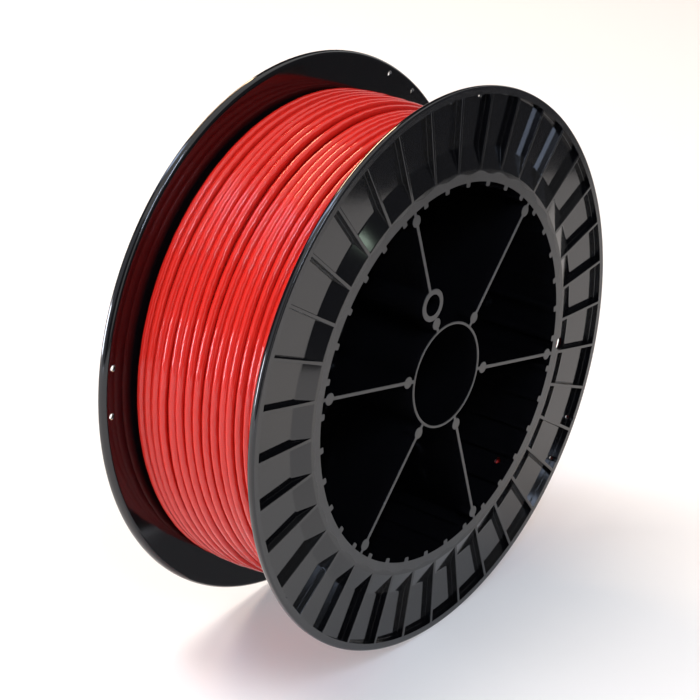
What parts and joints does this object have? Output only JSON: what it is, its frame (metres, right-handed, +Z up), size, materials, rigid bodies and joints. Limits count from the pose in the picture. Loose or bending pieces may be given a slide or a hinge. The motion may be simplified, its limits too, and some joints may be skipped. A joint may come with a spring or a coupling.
{
  "type": "cable reel",
  "caption": "Black moulded plastic cable reel with ribbed flanges, a webbed barrel and an open hub, wound with red cable.",
  "frame": {"origin": "centre of the reel, on its axis at mid-width", "axes": "+Y along the axis from the near flange to the far flange, +Z up as the reel stands on its rims, +X to the right seen from the near flange"},
  "size_m": [0.3996, 0.135, 0.3996],
  "materials": {
    "reel_plastic": "satin black moulded polystyrene",
    "cable_sheath": "smooth red PVC sheath with a soft sheen"
  },
  "bodies": {
    "root": {"near_flange": "reel_plastic", "near_barrel": "reel_plastic", "near_hub": "reel_plastic", "near_web_1": "reel_plastic", "near_drive_web": "reel_plastic", "near_web_3": "reel_plastic", "near_web_4": "reel_plastic", "near_web_5": "reel_plastic", "near_web_6": "reel_plastic", "far_flange": "reel_plastic", "far_barrel": "reel_plastic", "far_hub": "reel_plastic", "far_web_1": "reel_plastic", "far_drive_web": "reel_plastic", "far_web_3": "reel_plastic", "far_web_4": "reel_plastic", "far_web_5": "reel_plastic", "far_web_6": "reel_plastic", "cable_inner_layers": "cable_sheath", "cable_outer_layer": "cable_sheath", "cable_last_turn": "cable_sheath", "cable_start_end": "cable_sheath"}
  },
  "joints": []
}
